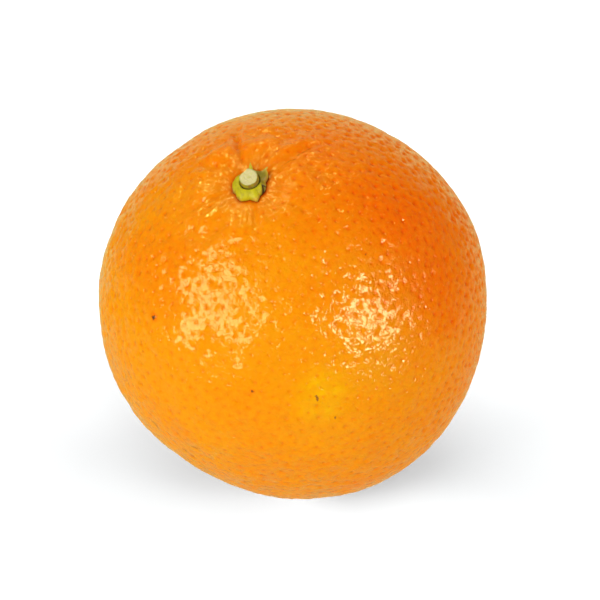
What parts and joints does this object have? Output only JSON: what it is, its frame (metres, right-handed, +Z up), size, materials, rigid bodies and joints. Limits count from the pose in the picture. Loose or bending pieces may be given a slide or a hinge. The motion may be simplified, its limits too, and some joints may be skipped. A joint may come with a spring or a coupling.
{
  "type": "clementine",
  "caption": "Whole clementine with a green star-shaped calyx and a clipped stem stub, resting level on a small flat spot of its skin.",
  "frame": {"origin": "centre of the flat spot of skin that the fruit rests on", "axes": "+Z up, away from the surface it rests on; -Y towards the front, where the stem end leans forward and to the left (-X)"},
  "size_m": [0.0616, 0.0617, 0.0618],
  "materials": {
    "rind": "gloss",
    "calyx": "satin",
    "stem": "matte"
  },
  "bodies": {
    "root": {"fruit": "rind", "calyx": "calyx", "stem_stub": "stem"}
  },
  "joints": []
}
